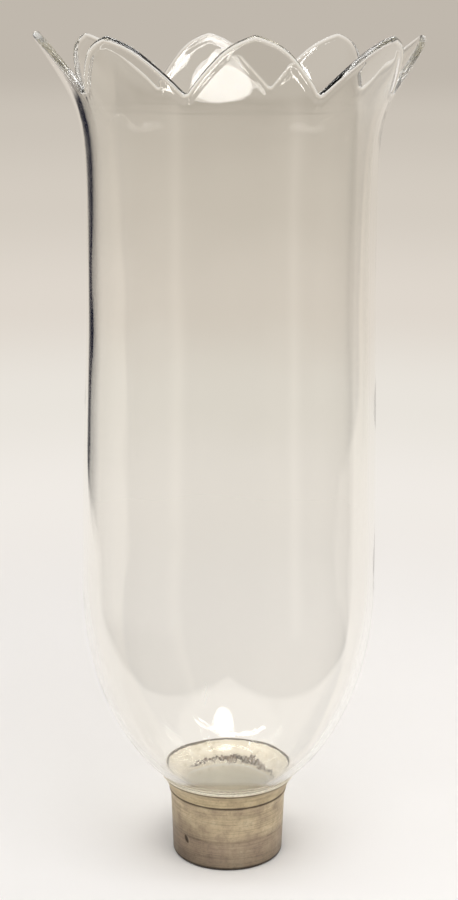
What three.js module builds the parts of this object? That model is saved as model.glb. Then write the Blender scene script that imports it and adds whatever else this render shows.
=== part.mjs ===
// Hurricane lamp globe: a clear blown-glass chimney, flared and cut into eight petals at the top,
// whose neck is set in plaster inside a spun brass ferrule. Nothing on it moves.
// Millimetres, +Z up. The origin is the centre of the ferrule's base, which the globe stands on.
import * as THREE from "three";

// Glass, outside sizes
const globeHeight = 301.2; // ferrule's base to the petal points
const waistRadius = 50.45; // narrowest part of the body, where the flare starts
const bellyRadius = 53.2; // widest part of the body
const bowlDepth = 81.5; // depth of the half ellipse that closes the body under the belly
const neckRadius = 17.4;
const neckFoot = 5; // height of the neck's ground lower end
const neckBend = 4.6; // how far the bend from neck to bowl runs out past the neck
const glassWall = 2.3;

// Crown
const crownRadius = 67.6; // out to the petal points
const flareHeight = 64.2; // start of the flare to the petal points
const flareBend = 26.4; // the petals' slope, drawn on down, meets the body this far below their points
const petalCount = 8;
const petalDepth = 21.9; // petal point to notch, along the slope of the flare
const notchRadius = 1.8; // fire-polished rounding at the bottom of each notch
const archShare = 1.1; // radius of a petal's arch, of half a petal's width
const pointShare = 0.32; // how far each half arch's centre lies past the petal's middle, of the same

// Ferrule, outside sizes
const baseRadius = 20.65; // a 1 5/8 inch fitter
const sleeveRadius = 21.4; // top of the slightly tapered sleeve
const sleeveHeight = 22.7;
const creaseRadius = 22.1; // where the sleeve ends and the lip turns out
const creaseHeight = 25.5;
const creaseDepth = 0.3;
const creaseWidth = 0.8;
const lipRadius = 25.3;
const lipHeight = 32.5;
const lipBow = 0.7; // how far the lip bows in from a straight cone
const brassWall = 0.8;
const hemWidth = 3.4; // of the base turned in to hold the plaster, from the outside
const hemBend = 0.2; // inside radius of its turn

// Plaster
const plasterDip = 0.7; // how far its top lies below the lip
const plasterRoughness = 0.15; // how far the top strays from that
const waveCounts = [5, 13];
const waveShares = [0.6, 0.4];
const bondGap = 0.3; // plaster to glass, plaster to brass, and lip to glass

// Facets
const neckSteps = 1;
const bendSteps = 3;
const bowlSteps = 8;
const bodySteps = 3;
const petalSteps = 4;
const glassEdgeSteps = 4;
const brassEdgeSteps = 3;
const hemSteps = 3;
const lipSteps = 3;
const ringSides = 64;
// Up the flare as far as the notches, closer together at its bend
const flareShares = [0.5, 0.78, 1];
// Across half a petal, from its point to its notch, closer together where its edge turns
const columnShares = [0, 0.15, 0.3, 0.48, 0.72, 0.95];

const clearGlass = new THREE.MeshStandardMaterial({
  color: 0xf4f3ee,
  roughness: 0.03,
  metalness: 0,
  transparent: true,
  opacity: 0.35,
});
const agedBrass = new THREE.MeshStandardMaterial({ color: 0x9b8a6e, roughness: 0.45, metalness: 0.85 });
const plaster = new THREE.MeshStandardMaterial({ color: 0xd6ceb9, roughness: 0.95, metalness: 0 });

// Sections are drawn in the plane of radius and height. A station is a point on the outside of a
// wall, with the direction that faces out there.

const point = (r, z) => new THREE.Vector2(r, z);
const station = (at, out) => ({ at, out: out.normalize() });
const inwards = (s, distance) => s.at.clone().addScaledVector(s.out, -distance);
const stepsOf = (steps, first = 0) =>
  Array.from({ length: steps + 1 - first }, (_, i) => (i + first) / steps);

// The outside of a wall lies to the right of the curve that it follows upwards.
const rightOf = (tangent) => point(tangent.y, -tangent.x);

function stationsAlong(curve, steps, first = 0) {
  return stepsOf(steps, first).map((t) => station(curve.getPoint(t), rightOf(curve.getTangent(t))));
}

// A wall's closed section: up the outside, over a half-round edge and down the inside.
function wallSection(outside, wall, edgeSteps) {
  const last = outside[outside.length - 1];
  const middle = inwards(last, wall / 2);
  const up = point(-last.out.y, last.out.x);
  const edge = stepsOf(edgeSteps, 1).slice(0, -1).map((t) => {
    const across = (wall / 2) * Math.cos(Math.PI * t);
    const above = (wall / 2) * Math.sin(Math.PI * t);
    return middle.clone().addScaledVector(last.out, across).addScaledVector(up, above);
  });
  const inside = outside.map((s) => inwards(s, wall)).reverse();
  return [...outside.map((s) => s.at), ...edge, ...inside];
}

// A closed ring about the Z axis through one section at each angle, all with as many points.
function ringGeometry(angles, sectionAt) {
  const sections = angles.map(sectionAt);
  const count = sections[0].length;
  const positions = sections.flatMap((section, i) =>
    section.flatMap((p) => [p.x * Math.cos(angles[i]), p.x * Math.sin(angles[i]), p.y]),
  );
  const faces = [];
  for (let i = 0; i < angles.length; i++) {
    const here = i * count;
    const next = ((i + 1) % angles.length) * count;
    for (let j = 0; j < count; j++) {
      const above = (j + 1) % count;
      faces.push(here + j, next + j, next + above);
      faces.push(here + j, next + above, here + above);
    }
  }
  const geometry = new THREE.BufferGeometry();
  geometry.setAttribute("position", new THREE.Float32BufferAttribute(positions, 3));
  geometry.setIndex(faces);
  geometry.computeVertexNormals();
  return geometry;
}

// Glass below the flare. The bowl's ellipse is set so that the lip just clears it.

const seatRadius = lipRadius - brassWall - bondGap;
const bowlDrop = (r) => bowlDepth * Math.sqrt(1 - (r / bellyRadius) ** 2);
const bellyHeight = lipHeight - brassWall / 2 + bowlDrop(seatRadius);
const flareStart = globeHeight - flareHeight;

function bodyStations() {
  const bendRadius = neckRadius + neckBend;
  const bendTop = point(bendRadius, bellyHeight - bowlDrop(bendRadius));
  // The bowl's tangent there meets the line of the neck at the corner that the bend rounds off.
  const slope = ((bowlDepth / bellyRadius) ** 2 * bendRadius) / bowlDrop(bendRadius);
  const corner = point(neckRadius, bendTop.y - neckBend * slope);
  const neckTop = point(neckRadius, corner.y - corner.distanceTo(bendTop));
  const neck = new THREE.LineCurve(point(neckRadius, neckFoot), neckTop);
  const bend = new THREE.QuadraticBezierCurve(neckTop, corner, bendTop);

  const bowlStart = -Math.acos(bendRadius / bellyRadius);
  const bowl = new THREE.EllipseCurve(0, bellyHeight, bellyRadius, bowlDepth, bowlStart, 0);
  const belly = point(bellyRadius, bellyHeight);
  const waist = point(waistRadius, flareStart);
  const third = point(0, (flareStart - bellyHeight) / 3);
  const body = new THREE.CubicBezierCurve(belly, belly.clone().add(third), waist.clone().sub(third), waist);
  return [
    ...stationsAlong(neck, neckSteps),
    ...stationsAlong(bend, bendSteps, 1),
    ...stationsAlong(bowl, bowlSteps, 1),
    ...stationsAlong(body, bodySteps, 1),
  ];
}

// Flare: the middle of its wall leaves the waist upright, turns outwards at the bend and runs on
// to the petal points.

const petalPoint = point(crownRadius - glassWall / 2, globeHeight - glassWall / 2);
const waistPoint = point(waistRadius - glassWall / 2, flareStart);
const bendPoint = point(waistPoint.x, globeHeight - flareBend);
const flare = new THREE.CubicBezierCurve(waistPoint, bendPoint, bendPoint, petalPoint);
const flareLength = flare.getLength();

// The flare's outside, at a length along the middle of its wall.
function flareStation(length) {
  const along = length / flareLength;
  const middle = station(flare.getPointAt(along), rightOf(flare.getTangentAt(along)));
  return station(inwards(middle, -glassWall / 2), middle.out);
}

// Crown: its edge is drawn on the flare laid flat, as two half arches that meet in a blunt point,
// straight flanks that touch them, and round notches that touch the flanks.

const petalHalf = (Math.PI * crownRadius) / petalCount;
const archRadius = archShare * petalHalf;
const archOffset = pointShare * petalHalf;
const archRise = Math.sqrt(archRadius ** 2 - archOffset ** 2);
const centresAcross = petalHalf + archOffset;
const centresUp = archRise + notchRadius - petalDepth;
const centresApart = Math.hypot(centresAcross, centresUp);
const flankAngle =
  Math.asin((archRadius + notchRadius) / centresApart) - Math.atan2(centresUp, centresAcross);
const archEnd = archRadius * Math.sin(flankAngle) - archOffset;
const notchStart = petalHalf - notchRadius * Math.sin(flankAngle);

// How far the edge lies below the petal points, at a distance from a petal's middle.
function crownDrop(across) {
  if (across > notchStart) {
    return petalDepth - notchRadius + Math.sqrt(notchRadius ** 2 - (petalHalf - across) ** 2);
  }
  const onArch = Math.min(across, archEnd);
  const archDrop = archRise - Math.sqrt(archRadius ** 2 - (onArch + archOffset) ** 2);
  return archDrop + (across - onArch) * Math.tan(flankAngle);
}

function glassGlobe() {
  const body = bodyStations();
  const plainLength = Math.max(flareLength - petalDepth - notchRadius, 0);
  const plain = flareShares.map((t) => plainLength * t);

  const sectionAt = (angle, index) => {
    const across = petalHalf * acrossShares[index % acrossShares.length];
    const petalLength = flareLength - crownDrop(across) - plainLength;
    const petal = stepsOf(petalSteps, 1).map((t) => plainLength + petalLength * t);
    return wallSection([...body, ...[...plain, ...petal].map(flareStation)], glassWall, glassEdgeSteps);
  };
  // One petal's columns, from its point to a notch and on to the next point
  const acrossShares = [...columnShares, 1, ...columnShares.slice(1).reverse()];
  const turnShares = acrossShares.map((s, i) => (i <= columnShares.length ? s / 2 : 1 - s / 2));
  const petals = Array.from({ length: petalCount }, (_, i) => i);
  const angles = petals.flatMap((i) => turnShares.map((s) => (2 * Math.PI * (i + s)) / petalCount));
  return ringGeometry(angles, sectionAt);
}

// Ferrule: one spinning, with a turned-in hem, a tapered sleeve, a rolled crease and a flared lip.

function ferruleStations() {
  const turn = brassWall + hemBend;
  const hemCorner = new THREE.EllipseCurve(baseRadius - turn, turn, turn, turn, -Math.PI / 2, 0);
  // The lip's half-round edge reaches the ferrule's full height and radius.
  const lean = Math.atan2(lipRadius - creaseRadius, lipHeight - creaseHeight);
  const lipOut = point(Math.cos(lean), -Math.sin(lean));
  const lipEdge = point(lipRadius - brassWall / 2, lipHeight - brassWall / 2);
  const lipEnd = lipEdge.addScaledVector(lipOut, brassWall / 2);
  const lipStart = point(creaseRadius, creaseHeight + creaseWidth / 2);
  const lipMiddle = lipStart.clone().lerp(lipEnd, 1 / 2).addScaledVector(lipOut, -lipBow);
  const sideways = point(1, 0);
  return [
    station(point(baseRadius - hemWidth, 0), point(0, -1)),
    ...stationsAlong(hemCorner, hemSteps),
    station(point(sleeveRadius, sleeveHeight), sideways),
    station(point(creaseRadius, creaseHeight - creaseWidth / 2), sideways),
    station(point(creaseRadius - creaseDepth, creaseHeight), sideways),
    ...stationsAlong(new THREE.QuadraticBezierCurve(lipStart, lipMiddle, lipEnd), lipSteps),
  ];
}

const ringAngles = stepsOf(ringSides).slice(1).map((t) => 2 * Math.PI * t);

function ferrule() {
  const section = wallSection(ferruleStations(), brassWall, brassEdgeSteps);
  return ringGeometry(ringAngles, () => section);
}

// Plaster: it fills what neck, bowl and ferrule leave, and the end of the neck stands on it.

const plasterHeight = lipHeight - plasterDip;

// The part of a climbing face below a height, ending at that height.
function faceUpTo(face, settled, height) {
  const below = face.filter((p) => p.y < settled);
  const next = face[face.findIndex((p) => p.y > height)];
  const last = below[below.length - 1];
  return [...below, last.clone().lerp(next, (height - last.y) / (next.y - last.y))];
}

function plasterFill() {
  const settled = plasterHeight - plasterRoughness;
  const boreRadius = neckRadius - glassWall;
  const hemStations = 1 + hemSteps;
  const brassFace = ferruleStations().slice(hemStations).map((s) => inwards(s, brassWall + bondGap));
  const glassFace = bodyStations().map((s) => inwards(s, -bondGap));

  const sectionAt = (angle) => {
    const stray = waveCounts.reduce((sum, count, i) => sum + waveShares[i] * Math.sin(count * angle), 0);
    const top = plasterHeight + plasterRoughness * stray;
    return [
      point(boreRadius, brassWall),
      point(brassFace[0].x, brassWall),
      ...faceUpTo(brassFace, settled, top),
      ...faceUpTo(glassFace, settled, top).reverse(),
      point(boreRadius, neckFoot),
    ];
  };
  return ringGeometry(ringAngles, sectionAt);
}

function piece(name, geometry, material) {
  const mesh = new THREE.Mesh(geometry, material);
  mesh.name = name;
  return mesh;
}

const globe = new THREE.Group();
globe.add(
  piece("glass_globe", glassGlobe(), clearGlass),
  piece("ferrule", ferrule(), agedBrass),
  piece("plaster_fill", plasterFill(), plaster),
);

export default globe;
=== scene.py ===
"""Hurricane lamp globe: its looks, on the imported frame.

A clear blown-glass chimney, flared and cut into eight petals at the top, whose neck is set in
plaster inside a spun brass ferrule. Everything is in metres in the frame's own axes; the sizes
below are written in millimetres and scaled once, where a mesh is made.
"""

import math

import bpy
import numpy as np
from mathutils import Matrix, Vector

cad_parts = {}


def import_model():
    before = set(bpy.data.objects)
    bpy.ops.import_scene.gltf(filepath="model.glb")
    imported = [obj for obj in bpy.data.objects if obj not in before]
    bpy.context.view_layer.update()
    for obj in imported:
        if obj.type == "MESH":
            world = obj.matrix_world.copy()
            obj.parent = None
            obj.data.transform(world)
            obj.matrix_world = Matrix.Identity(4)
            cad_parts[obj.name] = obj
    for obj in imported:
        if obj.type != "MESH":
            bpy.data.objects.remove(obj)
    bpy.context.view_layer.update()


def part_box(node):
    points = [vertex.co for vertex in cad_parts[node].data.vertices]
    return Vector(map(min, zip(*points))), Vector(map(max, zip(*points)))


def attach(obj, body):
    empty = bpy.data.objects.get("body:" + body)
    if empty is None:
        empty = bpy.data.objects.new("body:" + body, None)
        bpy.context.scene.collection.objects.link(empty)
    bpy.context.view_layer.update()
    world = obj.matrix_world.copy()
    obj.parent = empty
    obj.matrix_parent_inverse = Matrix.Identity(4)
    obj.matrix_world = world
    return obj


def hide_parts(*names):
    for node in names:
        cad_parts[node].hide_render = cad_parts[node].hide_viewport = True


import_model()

MM = 0.001
SEED = 11


def box_mm(name):
    low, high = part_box(name)
    return np.array(low) / MM, np.array(high) / MM


# Sizes that the frame gives
(_, _, NECK_FOOT), (CROWN_RADIUS, _, GLOBE_HEIGHT) = box_mm("glass_globe")
_, (LIP_RADIUS, _, LIP_HEIGHT) = box_mm("ferrule")

# Glass, outside
WAIST_RADIUS = 50.45
BELLY_RADIUS = 53.2
BOWL_DEPTH = 81.5
NECK_RADIUS = 17.4
NECK_BEND = 4.6
GLASS_WALL = 2.3
FLARE_HEIGHT = 64.2
FLARE_BEND = 26.4
# The hand-blown body leans towards +X: how far, and from and to which height
BOW = (0.45, 110, 200)

# Crown
PETALS = 8
PETAL_DEPTH = 21.9
NOTCH_RADIUS = 1.8
ARCH_SHARE = 1.1
POINT_SHARE = 0.32
EDGE_BEAD_SHARE = 0.08  # how much the fire-polished edge swells, of the wall
EDGE_REACH = 6  # the petals' rows follow the crown down to this far under the notches
# The petals were cut and bent by hand. From +X, counter-clockwise: how far each one's point is
# turned in degrees, drawn in and sunk
PETAL_TURNS = (-0.5, 1.1, -0.1, 0.1, 3.0, 0.8, -1.3, -1.0)
PETAL_DRAWS = (0.6, 0.3, 1.3, 0.1, 0.55, 1.5, 1.4, 1.5)
PETAL_SINKS = (0.8, 0.3, 0.3, 0.5, 0.1, 1.5, 1.1, 1.2)
PETAL_HEIGHT = 43  # they part from the round this far under the points

# Waves that blowing and drawing left in the glass: height, and length from crest to crest
BODY_WAVE = (0.03, 46)
WALL_WAVE = (0.02, 26)
DRAW_WAVE = (0.012, 9)  # upright streaks, from being drawn out
DRAW_STRETCH = (1, 1, 0.04)
WAVES_RISE = 20  # the three above grow from nothing over this height above the lip
BOWL_WAVE = (0.035, 4.5)  # tool marks inside the bowl's back
BOWL_STRETCH = (1, 1, 1.6)
BOWL_WAVE_BAND = (31, 35, 46, 60)  # heights between which they rise and die out

# Two scratches in the bowl's back: angle, radius, height, half width, half length and slant
SCRATCHES = [(97.3, 38, 48.4, 0.17, 2.9, -28), (97.8, 36.5, 45.6, 0.17, 2.5, -28)]

# Ferrule, outside
BASE_RADIUS = 20.65
SLEEVE_RADIUS = 21.4
SLEEVE_HEIGHT = 22.7
CREASE_RADIUS = 22.1
CREASE_HEIGHT = 25.5
CREASE_DEPTH = 0.3
CREASE_WIDTH = 0.8
LIP_BOW = 0.7
BRASS_WALL = 0.8
HEM_WIDTH = 3.4
HEM_TURN = 1.0  # outside radius of the hem's turn
SPIN_SOFTNESS = 0.22  # how round the corners of the spinning are
SCORE = (11.4, 0.1, 0.3)  # a scored line's height, depth and half width
NICK = (9.7, 0.3, 1.0, 1.9, -30)  # a dent's height, depth, half width, half length and slant
NICK_ANGLE = -144.5
OUT_OF_ROUND = 0.05

# Plaster
PLASTER_DIP = 0.65  # its top's depth under the lip
PLASTER_WAVE = (0.15, 9)
PLASTER_GRAIN = (0.08, 1.1)
BOND_GAP = 0.3
CRUMBS_HEIGHT = 26.4  # where it crumbled at the neck's bend
CRUMBS_STRAY = 6  # between the lowest and the highest that it can stray
CRUMBS_BLUR = 0.15
# Half the height of the crumbled band, at places from left to right
CRUMBS = [(-15, 0), (-13, 0.35), (-2, 0.55), (2, 0.9), (15, 1.3), (20, 0.2), (23, 0)]

# Mesh density
PETAL_COLUMNS = 44
COLUMN_CROWDING = 0.68  # how much closer they lie at the points and notches, 1 being most
BODY_ROWS = (6, 10, 34, 26)  # neck, bend, bowl, body
FLARE_ROWS = 8
PETAL_ROWS = 24
ROW_CROWDING = 0.85  # under 1, the petals' rows lie closer together towards the edge
EDGE_ROWS = 7
FINE_STEPS = 400  # of the flare's curve, and of half a petal where its edge's slope is taken
RING_COLUMNS = 256
HEM_ROWS, LIP_ROWS, LIP_EDGE_ROWS = 12, 16, 8
SPIN_SPACING = 0.1  # between points of the spinning's section before every other one is dropped
PLASTER_ROWS = (14, 26, 4, 3, 5)  # top, each face, foot, step under the glass, bore

# Camera, fitted to the photograph, in the frame's axes
CAMERA_DISTANCE = 581.05
CAMERA_HEIGHT = 299.79
CAMERA_TURN = math.radians(7.54)
CAMERA_PITCH = math.radians(13.96)
CAMERA_ROLL = math.radians(0.22)
CAMERA_LENS = 66.64
STUDIO_TURN = CAMERA_TURN  # the studio's paper and lamps are set square to the first view


# Curves in the plane of radius and height

def unit(rows):
    return rows / np.linalg.norm(rows, axis=1, keepdims=True)


def right_of(tangents):
    """Directions out of a wall whose outside lies to the right of its upward curve."""
    return unit(np.stack([tangents[:, 1], -tangents[:, 0]], 1))


def bezier(controls, steps):
    """Points of a Bezier curve."""
    t = np.linspace(0, 1, steps + 1)[:, None]
    rows = [np.array(c, float) + 0 * t for c in controls]
    while len(rows) > 1:
        rows = [a * (1 - t) + b * t for a, b in zip(rows, rows[1:])]
    return rows[0]


def lengths_to(points):
    """How far along a polyline each of its points lies."""
    return np.r_[0, np.cumsum(np.linalg.norm(np.diff(points, axis=0), axis=1))]


def at_lengths(at, lengths, points):
    """The values at places along a polyline whose points have these lengths and values."""
    return np.stack([np.interp(at, lengths, points[:, i]) for i in (0, 1)], -1)


def resampled(points, spacing):
    """A polyline's points at an even spacing."""
    lengths = lengths_to(points)
    at = np.linspace(0, lengths[-1], int(lengths[-1] / spacing) + 1)
    return at_lengths(at, lengths, points)


def softened(points, radius, spacing):
    """A polyline with its corners rounded, and its ends where they were."""
    rows = resampled(points, spacing)
    reach = max(1, int(radius / spacing))
    weights = np.hanning(2 * reach + 3)[1:-1]
    weights /= weights.sum()
    before = 2 * rows[0] - rows[reach:0:-1]
    after = 2 * rows[-1] - rows[-2 : -reach - 2 : -1]
    padded = np.vstack([before, rows, after])
    return np.stack([np.convolve(padded[:, i], weights, "valid") for i in (0, 1)], 1)


def out_of(points):
    return right_of(np.gradient(points, axis=0))


# Smooth waves

def waves(points, length, seed, count=24):
    """A smooth random field of height about 1 with crests about a length apart, at each point."""
    rng = np.random.default_rng(SEED + seed)
    ways = rng.normal(size=(count, 3))
    ways *= (2 * np.pi / length) * rng.uniform(0.7, 1.3, (count, 1)) / np.linalg.norm(
        ways, axis=1, keepdims=True
    )
    phases = rng.uniform(0, 2 * np.pi, count)
    return np.cos(points @ ways.T + phases).sum(-1) * math.sqrt(2 / count)


# Meshes

def turned(r, z, angles):
    """Points at radii r and heights z, in columns at the angles."""
    x, y = r * np.cos(angles), r * np.sin(angles)
    return np.stack([x, y, np.broadcast_to(z, x.shape)], -1)


def ring_object(name, columns, material):
    """A closed ring through columns of points, each a closed section, as a smooth-shaded piece."""
    count, rows = columns.shape[:2]
    here = np.arange(count)[:, None] * rows + np.arange(rows)
    across = np.roll(here, -1, axis=0)
    faces = np.stack([here, across, np.roll(across, -1, axis=1), np.roll(here, -1, axis=1)], -1)
    mesh = bpy.data.meshes.new(name)
    mesh.from_pydata((columns.reshape(-1, 3) * MM).tolist(), [], faces.reshape(-1, 4).tolist())
    mesh.polygons.foreach_set("use_smooth", [True] * len(mesh.polygons))
    mesh.materials.append(material)
    piece = bpy.data.objects.new(name, mesh)
    bpy.context.scene.collection.objects.link(piece)
    return piece


# Glass below the flare

SEAT_RADIUS = LIP_RADIUS - BRASS_WALL - BOND_GAP


def bowl_drop(r):
    return BOWL_DEPTH * math.sqrt(1 - (r / BELLY_RADIUS) ** 2)


BELLY_HEIGHT = LIP_HEIGHT - BRASS_WALL / 2 + bowl_drop(SEAT_RADIUS)
FLARE_START = GLOBE_HEIGHT - FLARE_HEIGHT


def body_outside():
    """The outside of the neck, its bend, the bowl and the body, upwards."""
    bend_radius = NECK_RADIUS + NECK_BEND
    bend_top = np.array([bend_radius, BELLY_HEIGHT - bowl_drop(bend_radius)])
    slope = (BOWL_DEPTH / BELLY_RADIUS) ** 2 * bend_radius / bowl_drop(bend_radius)
    corner = np.array([NECK_RADIUS, bend_top[1] - NECK_BEND * slope])
    neck_top = corner - [0, np.linalg.norm(bend_top - corner)]
    neck_rows, bend_rows, bowl_rows, body_rows = BODY_ROWS
    neck = bezier([(NECK_RADIUS, NECK_FOOT), neck_top], neck_rows)
    bend = bezier([neck_top, corner, bend_top], bend_rows)
    turn = np.linspace(-math.acos(bend_radius / BELLY_RADIUS), 0, bowl_rows + 1)
    bowl = np.stack([BELLY_RADIUS * np.cos(turn), BELLY_HEIGHT + BOWL_DEPTH * np.sin(turn)], 1)
    third = (FLARE_START - BELLY_HEIGHT) / 3
    body = bezier(
        [
            (BELLY_RADIUS, BELLY_HEIGHT),
            (BELLY_RADIUS, BELLY_HEIGHT + third),
            (WAIST_RADIUS, FLARE_START - third),
            (WAIST_RADIUS, FLARE_START),
        ],
        body_rows,
    )
    return np.vstack([neck, bend[1:], bowl[1:], body[1:]])


# Crown: its edge is drawn on the flare laid flat

PETAL_HALF = math.pi * CROWN_RADIUS / PETALS
ARCH_RADIUS = ARCH_SHARE * PETAL_HALF
ARCH_OFFSET = POINT_SHARE * PETAL_HALF
ARCH_RISE = math.sqrt(ARCH_RADIUS**2 - ARCH_OFFSET**2)
CENTRES_ACROSS = PETAL_HALF + ARCH_OFFSET
CENTRES_UP = ARCH_RISE + NOTCH_RADIUS - PETAL_DEPTH
FLANK_ANGLE = math.asin(
    (ARCH_RADIUS + NOTCH_RADIUS) / math.hypot(CENTRES_ACROSS, CENTRES_UP)
) - math.atan2(CENTRES_UP, CENTRES_ACROSS)
ARCH_END = ARCH_RADIUS * math.sin(FLANK_ANGLE) - ARCH_OFFSET
NOTCH_START = PETAL_HALF - NOTCH_RADIUS * math.sin(FLANK_ANGLE)


def crown_drop(across):
    """How far the edge lies below the petal points, at distances from a petal's middle."""
    on_arch = np.minimum(across, ARCH_END)
    arch = ARCH_RISE - np.sqrt(ARCH_RADIUS**2 - (on_arch + ARCH_OFFSET) ** 2)
    petal = arch + (across - on_arch) * math.tan(FLANK_ANGLE)
    in_notch = np.clip(PETAL_HALF - across, 0, NOTCH_RADIUS)
    notch = PETAL_DEPTH - NOTCH_RADIUS + np.sqrt(NOTCH_RADIUS**2 - in_notch**2)
    return np.where(across > NOTCH_START, notch, petal)


def glass_columns():
    """Each column's section: up the outside, over the edge and down the inside."""
    half_wall = GLASS_WALL / 2
    petal_point = (CROWN_RADIUS - half_wall, GLOBE_HEIGHT - half_wall)
    flare_foot = (WAIST_RADIUS - half_wall, FLARE_START)
    flare_corner = (WAIST_RADIUS - half_wall, GLOBE_HEIGHT - FLARE_BEND)
    flare = bezier([flare_foot, flare_corner, flare_corner, petal_point], FINE_STEPS)
    flare_out = out_of(flare)
    lengths = lengths_to(flare)
    # The edge runs on past the petal points by its own rounding
    beyond = half_wall * np.stack([-flare_out[-1, 1], flare_out[-1, 0]])
    flare = np.vstack([flare, flare[-1] + beyond])
    flare_out = np.vstack([flare_out, flare_out[-1]])
    lengths = np.r_[lengths, lengths[-1] + half_wall]
    flare_length = lengths[-2]

    # Columns lie closer together at the points and the notches
    turn = np.linspace(0, 1, PETAL_COLUMNS // 2 + 1)
    shares = turn - COLUMN_CROWDING * np.sin(2 * np.pi * turn) / (2 * np.pi)
    shares = np.r_[shares, 2 - shares[-2:0:-1]]
    angles = (np.arange(PETALS)[:, None] + shares / 2).ravel() * 2 * np.pi / PETALS
    across = np.tile(np.minimum(shares, 2 - shares), PETALS) * PETAL_HALF
    step = PETAL_HALF / FINE_STEPS
    slope = (crown_drop(np.minimum(across + step, PETAL_HALF)) - crown_drop(abs(across - step))) / (
        2 * step
    )
    lean = 1 / np.sqrt(1 + slope**2)

    # Lengths along the flare, the same for all columns under the petals and then up to the edge
    plain = flare_length - PETAL_DEPTH - EDGE_REACH
    under = np.linspace(0, plain, FLARE_ROWS + 1)[1:]
    edge = flare_length - crown_drop(across) + half_wall
    rounding = half_wall * (1 - np.cos(np.linspace(np.pi / 2, 0, EDGE_ROWS + 1)))
    petal_top = edge - half_wall / lean
    rise = np.linspace(0, 1, PETAL_ROWS + 1)[1:-1] ** ROW_CROWDING
    petal = plain + (petal_top - plain)[:, None] * rise
    to_edge = edge[:, None] - rounding / lean[:, None]
    along = np.hstack([np.broadcast_to(under, (len(across), len(under))), petal, to_edge])

    # Half the wall, rounded over at the edge and a little swollen behind it
    inward = (edge[:, None] - along) * lean[:, None]
    at_edge = np.clip(half_wall - inward, 0, half_wall)
    half = np.sqrt(half_wall**2 - at_edge**2)
    half *= 1 + EDGE_BEAD_SHARE * np.exp(-(((inward - 1.5 * half_wall) / half_wall) ** 2))

    middle = at_lengths(along, lengths, flare)
    way = at_lengths(along, lengths, flare_out)
    outside = middle + way * half[..., None]
    inside = (middle - way * half[..., None])[:, -2::-1]

    body = body_outside()
    body_out = out_of(body)
    body_in = (body - GLASS_WALL * body_out)[::-1]
    spread = (len(across), *body.shape)
    section = np.concatenate(
        [np.broadcast_to(body, spread), outside, inside, np.broadcast_to(body_in, spread)], 1
    )
    out = np.concatenate(
        [
            np.broadcast_to(body_out, spread),
            way,
            -way[:, -2::-1],
            -np.broadcast_to(body_out[::-1], spread),
        ],
        1,
    )
    # Each petal's own turn, draw and sink, full at its middle and nothing at its notches
    to_right = shares > 1
    petal = (np.arange(PETALS)[:, None] + to_right).ravel() % PETALS
    off_middle = np.tile(np.minimum(shares, 2 - shares), PETALS)[:, None]
    risen = np.clip((section[..., 1] - GLOBE_HEIGHT + PETAL_HEIGHT) / PETAL_HEIGHT, 0, 1)
    full = risen**2 * (1 - off_middle**2)
    section = np.stack(
        [
            section[..., 0] - full * np.array(PETAL_DRAWS)[petal, None],
            section[..., 1] - full * np.array(PETAL_SINKS)[petal, None],
        ],
        -1,
    )
    turns = np.radians(PETAL_TURNS)[petal, None] * (1 - off_middle) * np.minimum(2 * risen**2, 1)
    return angles[:, None] + turns, section, out


def glass_piece(material):
    angles, section, out = glass_columns()
    points = turned(section[..., 0], section[..., 1], angles)
    ways = turned(out[..., 0], out[..., 1], angles)
    height = points[..., 2]
    free = np.clip((height - LIP_HEIGHT) / WAVES_RISE, 0, 1)
    outer = (np.arange(points.shape[1]) < points.shape[1] // 2)[None, :]
    in_bowl = np.interp(height, BOWL_WAVE_BAND, (0, 1, 1, 0)) * np.clip(np.sin(angles), 0, 1) ** 2
    both = BODY_WAVE[0] * waves(points, BODY_WAVE[1], 1) * np.where(outer, 1, -1)
    wall = WALL_WAVE[0] * np.where(
        outer, waves(points, WALL_WAVE[1], 2), waves(points, WALL_WAVE[1], 3)
    )
    drawn = DRAW_WAVE[0] * waves(points * DRAW_STRETCH, DRAW_WAVE[1], 4) * np.where(outer, 1, -1)
    bowl = BOWL_WAVE[0] * np.where(outer, 0, waves(points * BOWL_STRETCH, BOWL_WAVE[1], 5))
    points = points + ways * (free * (both + wall + drawn) + in_bowl * bowl)[..., None]
    lean = np.clip((height - BOW[1]) / (BOW[2] - BOW[1]), 0, 1)
    points[..., 0] += BOW[0] * lean**2 * (3 - 2 * lean)
    return ring_object("blown_glass", points, material)


# Ferrule

def ring_angles():
    return np.arange(RING_COLUMNS)[:, None] * 2 * np.pi / RING_COLUMNS


def ferrule_outside():
    """The outside of the spinning, from its hem's edge to its lip's edge."""
    corner = [
        (BASE_RADIUS - HEM_TURN, 0),
        (BASE_RADIUS, 0),
        (BASE_RADIUS, HEM_TURN),
    ]
    lean = math.atan2(LIP_RADIUS - CREASE_RADIUS, LIP_HEIGHT - CREASE_HEIGHT)
    lip_out = np.array([math.cos(lean), -math.sin(lean)])
    lip_edge = np.array([LIP_RADIUS - BRASS_WALL / 2, LIP_HEIGHT - BRASS_WALL / 2])
    lip_end = lip_edge + lip_out * BRASS_WALL / 2
    lip_start = np.array([CREASE_RADIUS, CREASE_HEIGHT + CREASE_WIDTH / 2])
    lip_middle = (lip_start + lip_end) / 2 - lip_out * LIP_BOW
    rows = [
        [(BASE_RADIUS - HEM_WIDTH, 0)],
        bezier(corner, HEM_ROWS),
        [(SLEEVE_RADIUS, SLEEVE_HEIGHT)],
        [(CREASE_RADIUS, CREASE_HEIGHT - CREASE_WIDTH / 2)],
        [(CREASE_RADIUS - CREASE_DEPTH, CREASE_HEIGHT)],
        bezier([lip_start, lip_middle, lip_end], LIP_ROWS),
    ]
    return softened(np.vstack(rows), SPIN_SOFTNESS, SPIN_SPACING)[::2]


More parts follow.
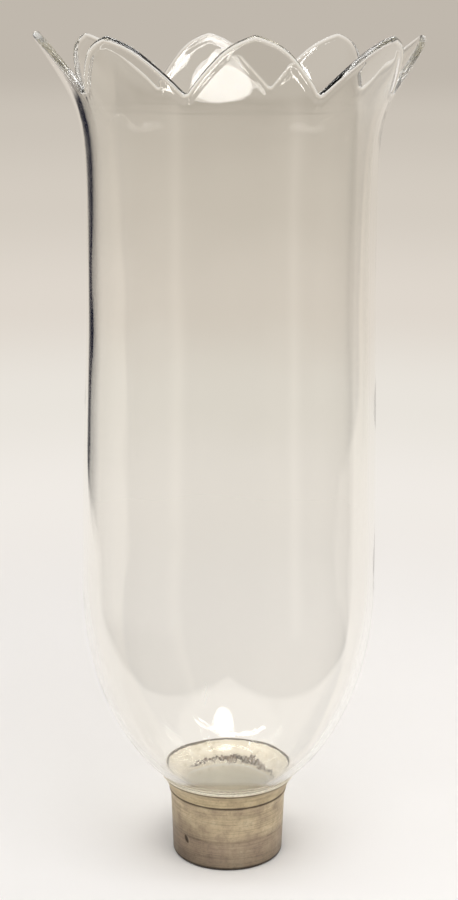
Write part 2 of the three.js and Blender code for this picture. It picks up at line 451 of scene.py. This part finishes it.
def wall_section(outside, wall, edge_rows):
    """A wall's closed section: up the outside, over a half-round edge and down the inside."""
    out = out_of(outside)
    up = np.array([-out[-1, 1], out[-1, 0]])
    turn = np.linspace(0, np.pi, edge_rows + 1)[1:-1, None]
    middle = outside[-1] - out[-1] * wall / 2
    edge = middle + (out[-1] * np.cos(turn) + up * np.sin(turn)) * wall / 2
    return np.vstack([outside, edge, (outside - out * wall)[::-1]])


def ferrule_piece(material):
    outside = ferrule_outside()
    section = wall_section(outside, BRASS_WALL, LIP_EDGE_ROWS)
    angles = ring_angles()
    r = np.broadcast_to(section[:, 0], (len(angles), len(section))).copy()
    z = section[:, 1]
    is_outside = np.arange(len(section)) < len(outside)
    score_height, score_depth, score_width = SCORE
    scored = score_depth * np.exp(-(((z - score_height) / score_width) ** 2))
    r -= np.where(is_outside, scored, 0)

    height, depth, half_width, half_length, slant = NICK
    across = ((angles - math.radians(NICK_ANGLE) + np.pi) % (2 * np.pi) - np.pi) * SLEEVE_RADIUS
    up = z - height
    c, s = math.cos(math.radians(slant)), math.sin(math.radians(slant))
    side, along = across * c - up * s, across * s + up * c
    r -= is_outside * depth * np.exp(-((side / half_width) ** 2) - (along / half_length) ** 2)

    held = np.clip((LIP_HEIGHT - z) / LIP_HEIGHT, 0, 1)
    r -= OUT_OF_ROUND * held * (1 + np.cos(2 * angles + 1)) / 2
    return ring_object("spun_ferrule", turned(r, z, angles), material)


# Plaster

def face_up_to(face, height, rows):
    """The part of a climbing face up to a height, at an even spacing."""
    below = face[face[:, 1] < height]
    beyond = face[np.argmax(face[:, 1] > height)]
    last = below[-1]
    end = last + (beyond - last) * (height - last[1]) / (beyond[1] - last[1])
    rows_in = np.vstack([below, end])
    lengths = lengths_to(rows_in)
    return at_lengths(np.linspace(0, lengths[-1], rows), lengths, rows_in)


def plaster_piece(material):
    outside = ferrule_outside()
    brass_face = outside - out_of(outside) * (BRASS_WALL + BOND_GAP)
    brass_face = brass_face[outside[:, 1] > HEM_TURN]
    body = body_outside()
    glass_face = body + out_of(body) * BOND_GAP
    bore = NECK_RADIUS - GLASS_WALL
    angles = ring_angles()
    top_rows, face_rows, foot_rows, step_rows, bore_rows = PLASTER_ROWS
    sections = []
    brim = turned(np.full_like(angles, LIP_RADIUS), 0, angles)
    wavy = np.clip(waves(brim, PLASTER_WAVE[1], 6), -1, 1)
    tops = LIP_HEIGHT - PLASTER_DIP + PLASTER_WAVE[0] * wavy
    for top in tops[:, 0]:
        brass = face_up_to(brass_face, top, face_rows)
        glass = face_up_to(glass_face, top, face_rows)
        across = np.linspace(0, 1, top_rows + 2)[1:-1, None]
        crust = brass[-1] * (1 - across) + glass[-1] * across
        foot = bezier([(bore, BRASS_WALL), (brass[0][0], BRASS_WALL)], foot_rows)
        step = bezier([glass[0], (bore, NECK_FOOT)], step_rows)
        inner = bezier([(bore, NECK_FOOT), (bore, BRASS_WALL)], bore_rows)
        sections.append(np.vstack([foot[:-1], brass, crust, glass[::-1], step[1:], inner[1:-1]]))
    section = np.array(sections)
    points = turned(section[..., 0], section[..., 1], angles)
    start = foot_rows + face_rows
    rough = np.zeros(points.shape[1])
    rough[start : start + top_rows] = np.sin(np.linspace(0, np.pi, top_rows)) ** 0.5
    grain = PLASTER_GRAIN[0] * (
        waves(points, PLASTER_GRAIN[1], 7) + 1.5 * waves(points, 3 * PLASTER_GRAIN[1], 8)
    )
    points[..., 2] += rough * grain
    return ring_object("poured_plaster", points, material)


# Materials

def srgb(r, g, b):
    """A colour written as 0 to 255, in linear light."""
    def linear(v):
        v /= 255
        return v / 12.92 if v <= 0.04045 else ((v + 0.055) / 1.055) ** 2.4

    return (linear(r), linear(g), linear(b), 1)


WHITE = (1, 1, 1, 1)

GLASS_TINT = (1, 0.992, 0.969, 1)
SMEAR_ROUGHNESS = 0.03
SCRATCH_ROUGHNESS = 0.6
LIGHT_PASSED = (0.84, 0.835, 0.82, 1)  # of light on its way, at each face of the glass

# Colours, alone or as stops along a noise
BRASS = [(0.3, srgb(178, 158, 134)), (0.55, srgb(206, 187, 154)), (0.75, srgb(222, 206, 174))]
# Painted light on the flare just above the crease
LIP_LIGHT_BRASS = srgb(206, 188, 146)
# Painted shade on the sleeve under the scored line
LOW_SHADE_BRASS = srgb(150, 130, 116)
# Painted reflection of the dark room, on the left of the sleeve
DARK_REFLECTION_BRASS = srgb(110, 92, 76)
# Painted shade at the foot, where it stands on the paper
FOOT_SHADE_BRASS = srgb(46, 37, 30)
# Painted shade in the crease, the scored line, the dent and under the lip
CREVICE_SHADE = srgb(70, 56, 42)
# Painted highlight on the outside of the lip's edge
LIP_EDGE_HIGHLIGHT = srgb(252, 244, 226)
LIP_EDGE_INSIDE = srgb(116, 103, 88)

PLASTER = [(0.3, srgb(216, 206, 182)), (0.42, srgb(243, 234, 216)), (0.7, srgb(253, 247, 234))]
# Painted light: the plaster deep in the bore made paler
BORE_LIGHT_PLASTER = srgb(255, 250, 234)
# Painted highlight of the glass neck's bend, on the plaster under the crumbs
BEND_HIGHLIGHT_PLASTER = srgb(255, 252, 244)
STAINS = [(0.42, srgb(74, 56, 40)), (0.62, srgb(150, 126, 104))]


class Nodes:
    """A short way to write node trees."""

    def __init__(self, tree):
        self.tree = tree
        tree.nodes.clear()

    def add(self, kind, inputs=None, **settings):
        node = self.tree.nodes.new("ShaderNode" + kind)
        for name, value in settings.items():
            setattr(node, name, value)
        for name, value in (inputs or {}).items():
            self.set(node.inputs[name], value)
        return node

    def set(self, socket, value):
        if isinstance(value, bpy.types.NodeSocket):
            self.tree.links.new(value, socket)
        else:
            socket.default_value = value

    def math(self, operation, *values):
        node = self.add("Math", operation=operation)
        for socket, value in zip(node.inputs, values):
            self.set(socket, value)
        return node.outputs[0]

    def plus(self, a, b):
        return self.math("ADD", a, b)

    def minus(self, a, b):
        return self.math("SUBTRACT", a, b)

    def times(self, a, b):
        return self.math("MULTIPLY", a, b)

    def over(self, a, b):
        return self.math("DIVIDE", a, b)

    def larger(self, a, b):
        return self.math("MAXIMUM", a, b)

    def smaller(self, a, b):
        return self.math("MINIMUM", a, b)

    def distance(self, x, y):
        return self.math("SQRT", self.plus(self.times(x, x), self.times(y, y)))

    def mix(self, factor, a, b, blend="MIX"):
        node = self.add("Mix", data_type="RGBA", blend_type=blend)
        for socket, value in ((node.inputs[0], factor), (node.inputs[6], a), (node.inputs[7], b)):
            self.set(socket, value)
        return node.outputs[2]

    def mix_shaders(self, factor, a, b):
        return self.add("MixShader", {0: factor, 1: a, 2: b}).outputs[0]

    def ramp(self, factor, stops, interpolation="LINEAR"):
        """A colour, or a number as a grey, that changes between stops of factor and colour."""
        node = self.add("ValToRGB", {"Fac": factor})
        ramp = node.color_ramp
        ramp.interpolation = interpolation
        while len(ramp.elements) < len(stops):
            ramp.elements.new(0.5)
        for element, (position, colour) in zip(ramp.elements, stops):
            element.position = position
            element.color = colour if isinstance(colour, tuple) else (colour, colour, colour, 1)
        return node.outputs["Color"]

    def smooth(self, value, low, high):
        """0 at low and 1 at high, with soft ends."""
        limits = {"Value": value, "From Min": low, "From Max": high}
        return self.add("MapRange", limits, interpolation_type="SMOOTHSTEP").outputs[0]

    def steps(self, value, stops):
        """A number that changes evenly between stops of value and number."""
        low, high = stops[0][0], stops[-1][0]
        share = self.over(self.minus(value, low), high - low)
        return self.ramp(share, [((at - low) / (high - low), number) for at, number in stops])

    def axes(self):
        """The place on the object as X, Y and Z, in metres."""
        place = self.add("TexCoord").outputs["Object"]
        return list(self.add("SeparateXYZ", {0: place}).outputs)

    def across(self):
        """How far a place lies towards +X, in millimetres."""
        return self.over(self.axes()[0], MM)

    def height(self):
        """The height on the object, in millimetres."""
        return self.over(self.axes()[2], MM)

    def radius(self):
        """The distance from the axis, in millimetres."""
        x, y, _ = self.axes()
        return self.over(self.distance(x, y), MM)

    def noise(self, scale, detail, roughness, stretch=(1, 1, 1)):
        place = self.add("TexCoord").outputs["Object"]
        stretched = self.add("Mapping", {"Vector": place, "Scale": stretch}).outputs[0]
        return self.add(
            "TexNoise",
            {"Vector": stretched, "Scale": scale, "Detail": detail, "Roughness": roughness},
        ).outputs["Fac"]


def material(name, build):
    made = bpy.data.materials.new(name)
    made.use_nodes = True
    nodes = Nodes(made.node_tree)
    shader = build(nodes)
    nodes.add("OutputMaterial", {"Surface": shader})
    return made


def dash_mark(nodes, angle, radius, height, half_width, half_length, slant):
    """1 on a short line on the round face at an angle, and 0 off it, in millimetres and degrees."""
    x, y, _ = nodes.axes()
    across = nodes.times(nodes.minus(nodes.math("ARCTAN2", y, x), math.radians(angle)), radius)
    up = nodes.minus(nodes.height(), height)
    c, s = math.cos(math.radians(slant)), math.sin(math.radians(slant))
    side = nodes.over(nodes.minus(nodes.times(across, c), nodes.times(up, s)), half_width)
    along = nodes.over(nodes.plus(nodes.times(across, s), nodes.times(up, c)), half_length)
    off = nodes.plus(nodes.math("POWER", side, 2), nodes.math("POWER", along, 2))
    return nodes.smooth(off, 1.2, 0.3)


def clear_glass(nodes):
    """Clear glass, faintly smeared, with two scratches."""
    smears = nodes.ramp(nodes.noise(14, 4, 0.6), [(0.45, 0.0), (0.8, SMEAR_ROUGHNESS)])
    scratched = nodes.plus(*[dash_mark(nodes, *scratch) for scratch in SCRATCHES])
    glass = nodes.add(
        "BsdfPrincipled",
        {
            "Base Color": GLASS_TINT,
            "Roughness": nodes.plus(smears, nodes.times(scratched, SCRATCH_ROUGHNESS)),
            "IOR": 1.5,
            "Transmission Weight": 1.0,
        },
    )
    # Light on its way loses a little at each face, but none at the neck, which sits in the plaster
    bonded = nodes.steps(nodes.height(), [(LIP_HEIGHT - 1, 1), (LIP_HEIGHT + 1, 0)])
    lamp = nodes.add("BsdfTransparent", {"Color": nodes.mix(bonded, LIGHT_PASSED, WHITE)})
    shadow_ray = nodes.add("LightPath").outputs["Is Shadow Ray"]
    return nodes.mix_shaders(shadow_ray, glass.outputs[0], lamp.outputs[0])


def aged_brass(nodes):
    """Dull grey-brown brass, brushed round; painted light above the crease, painted shade at its
    foot.
    """
    height = nodes.height()
    clouds = nodes.noise(170, 5, 0.6)
    colour = nodes.ramp(clouds, BRASS)

    # Painted light on the lip, painted shade under the scored line and at the foot, a painted
    # reflection of the dark room on the left
    lip = nodes.steps(height, [(CREASE_HEIGHT, 0), (CREASE_HEIGHT + 0.6, 1), (LIP_HEIGHT, 0.4)])
    colour = nodes.mix(nodes.times(lip, 0.45), colour, LIP_LIGHT_BRASS)
    score_height, _, score_width = SCORE
    low = nodes.steps(height, [(0, 0.55), (score_height - 1, 0.5), (score_height + 3, 0)])
    colour = nodes.mix(low, colour, LOW_SHADE_BRASS)
    on_left = nodes.smooth(nodes.across(), -4, -16)
    dark_reflection = nodes.times(on_left, nodes.steps(height, [(0, 1), (13, 1), (21, 0)]))
    colour = nodes.mix(nodes.times(dark_reflection, 0.45), colour, DARK_REFLECTION_BRASS)
    foot = nodes.steps(height, [(0, 1), (0.9, 1), (1.5, 0.35), (8, 0)])
    colour = nodes.mix(nodes.times(foot, 0.9), colour, FOOT_SHADE_BRASS)

    # Painted shade in the crease, the scored line and the dent, and under the lip
    crease_low, crease_high = CREASE_HEIGHT - CREASE_WIDTH, CREASE_HEIGHT + CREASE_WIDTH / 2
    crease = nodes.steps(height, [(crease_low, 0), (CREASE_HEIGHT, 1), (crease_high, 0)])
    score_low, score_high = score_height - 2 * score_width, score_height + 2 * score_width
    score = nodes.steps(height, [(score_low, 0), (score_height, 1), (score_high, 0)])
    worn = nodes.ramp(nodes.noise(130, 2, 0.5), [(0.4, 0.1), (0.6, 0.8)])
    lip_stops = [(LIP_HEIGHT - 2, 0), (LIP_HEIGHT - 1.2, 0.9), (LIP_HEIGHT - 0.8, 0)]
    under_lip_shade = nodes.steps(height, lip_stops)
    nick_height, _, *nick_shape = NICK
    nick = dash_mark(nodes, NICK_ANGLE, SLEEVE_RADIUS, nick_height, *nick_shape)
    lines = nodes.larger(nodes.times(crease, 0.8), nodes.times(nodes.times(score, worn), 0.55))
    dark = nodes.larger(lines, nodes.larger(under_lip_shade, nick))
    colour = nodes.mix(dark, colour, CREVICE_SHADE)

    # The lip's edge: a painted highlight on its outside, darker on its inside
    edge = nodes.steps(height, [(LIP_HEIGHT - 0.8, 0), (LIP_HEIGHT - 0.6, 1)])
    outside_highlight = nodes.smooth(nodes.radius(), LIP_RADIUS - 0.6, LIP_RADIUS - 0.4)
    colour = nodes.mix(edge, colour, nodes.mix(outside_highlight, LIP_EDGE_INSIDE, LIP_EDGE_HIGHLIGHT))

    # Fine lines round from the spinning, faint ones upwards from handling, and grime
    spun = nodes.noise(60, 3, 0.5, (1, 1, 40))
    wiped = nodes.noise(700, 2, 0.5, (1, 1, 0.05))
    grime = nodes.noise(900, 4, 0.7)
    for strength, noise, stops in (
        (0.7, spun, [(0.38, 0.72), (0.52, 1.0)]),
        (0.2, wiped, [(0.35, 0.74), (0.55, 1.0)]),
        (0.6, grime, [(0.36, 0.72), (0.5, 1.0)]),
    ):
        colour = nodes.mix(strength, colour, nodes.ramp(noise, stops), "MULTIPLY")

    relief = nodes.plus(nodes.times(spun, 0.7), nodes.times(clouds, 0.6))
    bump = nodes.add("Bump", {"Height": relief, "Strength": 0.25, "Distance": 0.0002})
    return nodes.add(
        "BsdfPrincipled",
        {
            "Base Color": colour,
            "Metallic": 0.45,
            "Roughness": nodes.ramp(clouds, [(0.3, 0.55), (0.7, 0.42)]),
            "Normal": bump.outputs[0],
        },
    ).outputs[0]


def cream_plaster(nodes):
    """Cream plaster with flecks, stained brown where it crumbled at the glass neck's bend."""
    height = nodes.height()
    flecks = nodes.noise(420, 4, 0.6)
    colour = nodes.ramp(flecks, PLASTER)
    # Painted light: deep in the bore the plaster is made paler, for light that reaches it there
    bore_light = nodes.steps(height, [(21, 1), (25, 0)])
    colour = nodes.mix(bore_light, colour, BORE_LIGHT_PLASTER)
    # Painted highlight: the glass neck's bend, as a pale line under the crumbs
    bend_highlight_stops = [(CRUMBS_HEIGHT - 2.6, 0), (CRUMBS_HEIGHT - 2, 0.9), (CRUMBS_HEIGHT - 1.4, 0)]
    colour = nodes.mix(nodes.steps(height, bend_highlight_stops), colour, BEND_HIGHLIGHT_PLASTER)

    # The crumbled band strays up and down, and shows whole plaster between its crumbs
    strayed = nodes.times(nodes.minus(nodes.noise(430, 4, 0.7), 0.5), CRUMBS_STRAY)
    off_line = nodes.math("ABSOLUTE", nodes.minus(nodes.plus(height, strayed), CRUMBS_HEIGHT))
    past_band = nodes.minus(off_line, nodes.steps(nodes.across(), CRUMBS))
    crumbled = nodes.smooth(past_band, CRUMBS_BLUR, -CRUMBS_BLUR)
    broken = nodes.ramp(nodes.noise(900, 3, 0.6), [(0.44, 0.5), (0.54, 0.95)])
    colour = nodes.mix(nodes.times(crumbled, broken), colour, nodes.ramp(flecks, STAINS))

    bump = nodes.add("Bump", {"Height": flecks, "Strength": 0.5, "Distance": 0.0004})
    return nodes.add(
        "BsdfPrincipled",
        {"Base Color": colour, "Roughness": 0.9, "Normal": bump.outputs[0]},
    ).outputs[0]


# Studio, in metres. The sheet of paper that the globe stands on fills the background; what the
# glass mirrors is the sheet's true outline and the darker room beyond it.

FLOOR_RADIUS = 16
FLOOR_SIDES = 96
FADE_LENGTH = 1.5  # at this distance the floor is half way along its stops
HORIZON = srgb(192, 184, 173)
FLOOR_STOPS = [
    (0.0, srgb(248, 245, 242)),
    (0.13, srgb(249, 245, 241)),
    (0.25, srgb(240, 235, 229)),
    (0.35, srgb(233, 228, 220)),
    (0.47, srgb(223, 215, 205)),
    (0.63, srgb(212, 204, 193)),
    (0.79, srgb(203, 195, 184)),
    (0.91, HORIZON),
]
# Painted shade on the near paper, to the left
PAPER_SHADE = 0.06  # how much darker the near paper is to the left
SHADE_FROM, SHADE_TO = 0.1, -0.12  # from right to left, where that starts and is full
LIT_FROM, LIT_TO = 0.15, 0.5  # between these radii the floor turns from lit to plain colour

SHEET_CORNER = 0.174  # its nearest corner lies this far in front of the globe's axis
SHEET_LEFT_SLOPE, SHEET_RIGHT_SLOPE = 0.92, 0.97  # of its two front edges, away from the corner
SHEET_LEFT = 0.4  # its left side lies this far from the axis, and farther off from here on
SHEET_LEFT_START, SHEET_LEFT_SPREAD = 0.15, 0.42
SHEET_RIGHT_START, SHEET_RIGHT_SPREAD = 0.055, 0.412  # of its right front edge farther off
SHEET_BLUR = 0.09  # softness of its mirrored outline, of the distance
FAR_SHEET_BLUR = 0.03  # the same at the horizon, to each side

FRONT_ROOM = srgb(44, 40, 36)
PANEL = srgb(196, 192, 186)
SIDE_ROOM = srgb(15, 17, 36)
SIDE_WALL = srgb(178, 174, 168)
DIM_WALL = srgb(140, 136, 130)
CEILING = srgb(228, 226, 222)
# Round the room from behind over the left, the front and the right, in shares of a whole turn
ROOM_STOPS = [
    (0.135, SIDE_ROOM),
    (0.165, SIDE_WALL),
    (0.25, SIDE_WALL),
    (0.29, DIM_WALL),
    (0.38, DIM_WALL),
    (0.42, FRONT_ROOM),
    (0.615, FRONT_ROOM),
    (0.635, PANEL),
    (0.665, FRONT_ROOM),
]
CEILING_FROM, CEILING_TO = 0.62, 0.72  # upward parts of a direction where it starts and is full
DARK_FLOOR = 0.24  # the floor beside the sheet is dark up to this far from the axis

WORLD_LIGHT = 0.66
# Turn, elevation and distance, size, and watts
TUBE = ((-8, 75, 1.6), (2.4, 0.08), 7.0)
LAMP = ((12.5, 63.5, 0.5), (0.237, 0.237), 0.98)
MIDDLE = 0.15  # height of the object's middle, which the lamps face
WALL_BOUNCES = 200


def seen(nodes):
    """1 for what is seen directly, mirrored or through glass, and 0 for light on its way."""
    path = nodes.add("LightPath").outputs
    direct = nodes.larger(path["Is Camera Ray"], path["Is Glossy Ray"])
    return nodes.larger(direct, path["Is Transmission Ray"])


def mirrored(nodes):
    """1 for what is seen by way of a mirroring surface, and 0 otherwise."""
    return nodes.math("GREATER_THAN", nodes.add("LightPath").outputs["Glossy Depth"], 0.5)


def emitted(nodes, colour):
    return nodes.add("Emission", {"Color": colour, "Strength": 1.0}).outputs[0]


def across_and_along(nodes, vector):
    """How far a place or direction lies to the right, to the back and to the top of the studio."""
    x, y, z = nodes.add("SeparateXYZ", {0: vector}).outputs
    c, s = math.cos(STUDIO_TURN), math.sin(STUDIO_TURN)
    across = nodes.minus(nodes.times(x, c), nodes.times(y, s))
    along = nodes.plus(nodes.times(x, s), nodes.times(y, c))
    return across, along, z


def room_colour(nodes, across, along):
    """The room round the sheet: dark in front with a pale panel, a pale wall to the left, a navy
    gap behind that."""
    angle = nodes.math("ARCTAN2", across, nodes.times(along, -1))
    share = nodes.plus(nodes.over(angle, 2 * math.pi), 0.5)
    return nodes.ramp(share, ROOM_STOPS)


def outside_sheet(nodes, across, along, radius):
    """1 beyond the sheet's outline and 0 on the sheet, with a soft edge."""
    from_corner = nodes.plus(along, SHEET_CORNER)
    left_edge = nodes.plus(from_corner, nodes.times(across, SHEET_LEFT_SLOPE))
    near_right = nodes.minus(from_corner, nodes.times(across, SHEET_RIGHT_SLOPE))
    from_start = nodes.plus(along, SHEET_RIGHT_START)
    far_right = nodes.minus(from_start, nodes.times(across, SHEET_RIGHT_SPREAD))
    right_edge = nodes.larger(near_right, far_right)
    spread = nodes.plus(nodes.times(along, SHEET_LEFT_SPREAD), SHEET_LEFT_START)
    left_side = nodes.plus(across, nodes.larger(spread, SHEET_LEFT))
    inside = nodes.smaller(nodes.smaller(left_edge, right_edge), left_side)
    blur = nodes.times(radius, SHEET_BLUR)
    return nodes.smooth(nodes.over(inside, blur), 0.5, -0.5)


def floor_material(nodes):
    """Pale paper, lit near the globe and of a plain colour farther off. A mirror shows where the
    sheet ends, and the room beyond it."""
    across, along, _ = across_and_along(nodes, nodes.add("NewGeometry").outputs["Position"])
    radius = nodes.distance(across, along)
    share = nodes.over(radius, nodes.plus(radius, FADE_LENGTH))
    colour = nodes.ramp(share, FLOOR_STOPS, "EASE")
    # Painted shade: the near paper darker to the left
    shade = nodes.times(nodes.smooth(across, SHADE_FROM, SHADE_TO), PAPER_SHADE)
    paper = nodes.mix(shade, colour, srgb(0, 0, 0))
    lit = nodes.add("BsdfDiffuse", {"Color": paper}).outputs[0]
    far = nodes.smooth(radius, LIT_FROM, LIT_TO)
    shown = nodes.mix_shaders(nodes.times(far, seen(nodes)), lit, emitted(nodes, colour))

    off = nodes.smooth(radius, DARK_FLOOR, 1.5 * DARK_FLOOR)
    room = nodes.mix(off, FRONT_ROOM, room_colour(nodes, across, along))
    beyond = nodes.times(outside_sheet(nodes, across, along, radius), mirrored(nodes))
    return nodes.mix_shaders(beyond, shown, emitted(nodes, room))


def floor():
    turn = np.linspace(0, 2 * np.pi, FLOOR_SIDES + 1)[:-1]
    rim = np.stack([np.cos(turn), np.sin(turn), 0 * turn], 1) * FLOOR_RADIUS
    mesh = bpy.data.meshes.new("floor")
    mesh.from_pydata(rim.tolist(), [], [list(range(len(rim)))])
    mesh.materials.append(material("floor_paper", floor_material))
    piece = bpy.data.objects.new("floor", mesh)
    bpy.context.scene.collection.objects.link(piece)


def world():
    """Even white light, and for the eye the far sheet, the room and the ceiling."""
    made = bpy.data.worlds.new("studio")
    bpy.context.scene.world = made
    made.use_nodes = True
    nodes = Nodes(made.node_tree)
    across, along, up = across_and_along(nodes, nodes.add("TexCoord").outputs["Generated"])
    right_edge = nodes.minus(along, nodes.times(across, SHEET_RIGHT_SPREAD))
    left_side = nodes.plus(across, nodes.times(along, SHEET_LEFT_SPREAD))
    sheet = nodes.smooth(nodes.smaller(right_edge, left_side), -FAR_SHEET_BLUR, FAR_SHEET_BLUR)
    room = nodes.mix(sheet, room_colour(nodes, across, along), HORIZON)
    below = nodes.mix(mirrored(nodes), HORIZON, room)
    ceiling = nodes.smooth(up, CEILING_FROM, CEILING_TO)
    sight = nodes.mix(ceiling, below, CEILING)
    backdrop = nodes.add("Background", {"Color": sight, "Strength": 1.0}).outputs[0]
    light = nodes.add("Background", {"Color": WHITE, "Strength": WORLD_LIGHT}).outputs[0]
    nodes.add("OutputWorld", {"Surface": nodes.mix_shaders(seen(nodes), light, backdrop)})


def studio_place(turn, elevation, distance):
    """A place round the object's middle; turn 0 is on the camera's side, positive to its right."""
    turn, elevation = math.radians(turn) - STUDIO_TURN, math.radians(elevation)
    level = distance * math.cos(elevation)
    return (
        level * math.sin(turn),
        -level * math.cos(turn),
        MIDDLE + distance * math.sin(elevation),
    )


def looking_along(way):
    """Axes, as columns, of something that looks along a direction with its top upwards."""
    back = -np.array(way, float) / np.linalg.norm(way)
    right = np.cross([0, 0, 1], back)
    right /= np.linalg.norm(right)
    return np.stack([right, np.cross(back, right), back], 1)


def area_light(name, shape, place, size, watts):
    """A flat lamp that faces the middle of the object."""
    lamp = bpy.data.lights.new(name, "AREA")
    lamp.shape = shape
    lamp.size, lamp.size_y = size
    lamp.energy = watts
    piece = bpy.data.objects.new(name, lamp)
    bpy.context.scene.collection.objects.link(piece)
    location = studio_place(*place)
    back = np.array(location) - [0, 0, MIDDLE]
    piece.location = location
    piece.rotation_euler = Matrix(looking_along(-back).tolist()).to_euler()
    piece.visible_camera = False


def camera():
    data = bpy.data.cameras.new("camera")
    data.lens = CAMERA_LENS
    data.clip_start, data.clip_end = 0.05, 100
    piece = bpy.data.objects.new("camera", data)
    bpy.context.scene.collection.objects.link(piece)
    heading = np.array([math.sin(CAMERA_TURN), math.cos(CAMERA_TURN), 0])
    forward = heading * math.cos(CAMERA_PITCH) - np.array([0, 0, math.sin(CAMERA_PITCH)])
    axes = looking_along(forward)
    c, s = math.cos(CAMERA_ROLL), math.sin(CAMERA_ROLL)
    right = axes[:, 0] * c + axes[:, 1] * s
    up = axes[:, 1] * c - axes[:, 0] * s
    place = np.eye(4)
    place[:3, :3] = np.stack([right, up, axes[:, 2]], 1)
    place[:3, 3] = (np.array([0, 0, CAMERA_HEIGHT]) - heading * CAMERA_DISTANCE) * MM
    piece.matrix_world = Matrix(place.tolist())
    bpy.context.scene.camera = piece


def main():
    camera()
    pieces = [
        (glass_piece(material("clear_glass", clear_glass)), "glass_globe", "clear_glass"),
        (ferrule_piece(material("aged_brass", aged_brass)), "ferrule", "aged_brass"),
        (plaster_piece(material("cream_plaster", cream_plaster)), "plaster_fill", "plaster"),
    ]
    for piece, node, slot in pieces:
        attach(piece, "root")
        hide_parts(node)
    floor()
    world()
    area_light("tube", "RECTANGLE", *TUBE)
    area_light("lamp", "DISK", *LAMP)
    bpy.context.scene.view_settings.view_transform = "Standard"
    # Light that runs down inside the glass wall leaves it only after many bounces
    cycles = bpy.context.scene.cycles
    cycles.max_bounces = cycles.glossy_bounces = cycles.transmission_bounces = WALL_BOUNCES


main()
